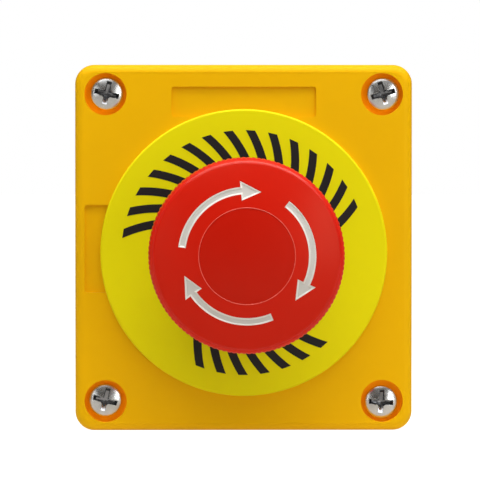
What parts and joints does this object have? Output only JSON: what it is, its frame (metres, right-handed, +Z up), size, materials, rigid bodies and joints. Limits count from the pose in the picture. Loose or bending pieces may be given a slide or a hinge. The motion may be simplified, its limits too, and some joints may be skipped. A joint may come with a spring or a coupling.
{
  "type": "emergency stop button",
  "caption": "Surface-mounted emergency stop station: yellow box, round legend disc and red turn-to-release mushroom button over two contact blocks.",
  "frame": {"origin": "centre of the rear (wall) face of the box", "axes": "+Z up, +Y into the wall, so the front of the box and the button face -Y; +X to the viewer's right"},
  "size_m": [0.0706, 0.0855, 0.0764],
  "materials": {
    "yellow_cover": "moulded, fine texture, satin gloss",
    "base_plastic": "moulded, fine texture",
    "rubber_black": "matt",
    "zinc_steel": "bright zinc plate",
    "legend_yellow": "smooth, satin",
    "black_plastic": "moulded, fine texture",
    "bright_metal": "satin chrome",
    "spindle_plastic": "moulded",
    "spring_steel": "drawn wire",
    "ivory_plastic": "moulded",
    "red_plastic": "moulded, satin gloss",
    "white_paint": "matt paint in a recess",
    "nc_red": "moulded",
    "no_green": "moulded",
    "contact_brass": "stamped strip"
  },
  "bodies": {
    "housing": {"front_cover": "yellow_cover", "rear_base": "base_plastic", "entry_wall": "base_plastic", "cover_gasket": "rubber_black", "cover_screws": "zinc_steel", "legend_plate": "legend_yellow", "panel_gasket": "rubber_black", "operator_body": "black_plastic", "shaft_seal": "rubber_black", "bushing_retainer": "black_plastic", "bezel_ring": "bright_metal", "lock_washer": "zinc_steel", "locking_nut": "black_plastic", "contact_carrier": "black_plastic", "carrier_screws": "zinc_steel", "return_spring": "spring_steel", "nc_housing": "nc_red", "no_housing": "no_green", "block_caps": "black_plastic", "nc_terminals": "contact_brass", "no_terminals": "contact_brass", "terminal_screws": "zinc_steel", "wire_clamps": "zinc_steel", "nc_spring": "spring_steel", "no_spring": "spring_steel"},
    "spindle_slide": {"spindle": "spindle_plastic", "latch_clip": "spring_steel", "pusher_plate": "ivory_plastic", "head_screw": "zinc_steel", "twist_spring": "spring_steel"},
    "head": {"mushroom_cap": "red_plastic", "arrow_inlays": "white_paint", "centre_cap": "red_plastic"},
    "latch": {"latch_ring": "spindle_plastic"},
    "nc_contact": {"nc_plunger": "ivory_plastic", "nc_bridge": "contact_brass"},
    "no_plunger_slide": {"no_plunger": "ivory_plastic", "no_contact_spring": "spring_steel"},
    "no_contact": {"no_bridge": "contact_brass"}
  },
  "joints": [
    {"name": "press", "type": "slide", "parent": "housing", "child": "spindle_slide", "axis": [0, 1, 0], "range_m": [0, 0.0055], "stiffness_N_per_m": 1500, "springref_m": -0.003, "deforming": ["return_spring", "nc_spring", "no_spring"]},
    {"name": "twist", "type": "hinge", "parent": "spindle_slide", "child": "head", "pos_m": [0, -0.074, -0.001], "axis": [0, 1, 0], "range_deg": [0, 40], "stiffness_Nm_per_rad": 0.02, "deforming": ["twist_spring"]},
    {"name": "latch_turn", "type": "hinge", "parent": "spindle_slide", "child": "latch", "pos_m": [0, -0.0508, -0.001], "axis": [0, -1, 0], "range_deg": [0, 60]},
    {"name": "nc_travel", "type": "slide", "parent": "housing", "child": "nc_contact", "axis": [0, 1, 0], "range_m": [0, 0.0055]},
    {"name": "no_travel", "type": "slide", "parent": "housing", "child": "no_plunger_slide", "axis": [0, 1, 0], "range_m": [0, 0.0055]},
    {"name": "no_contact_travel", "type": "slide", "parent": "housing", "child": "no_contact", "axis": [0, 1, 0], "range_m": [0, 0.0026], "deforming": ["no_contact_spring"]}
  ],
  "couplings": [
    {"joint": "latch_turn", "follows": "press", "rad_per_m": 190.3},
    {"joint": "nc_travel", "follows": "press", "ratio": 1},
    {"joint": "no_travel", "follows": "press", "ratio": 1},
    {"joint": "no_contact_travel", "follows": "press", "ratio": 0.47}
  ]
}
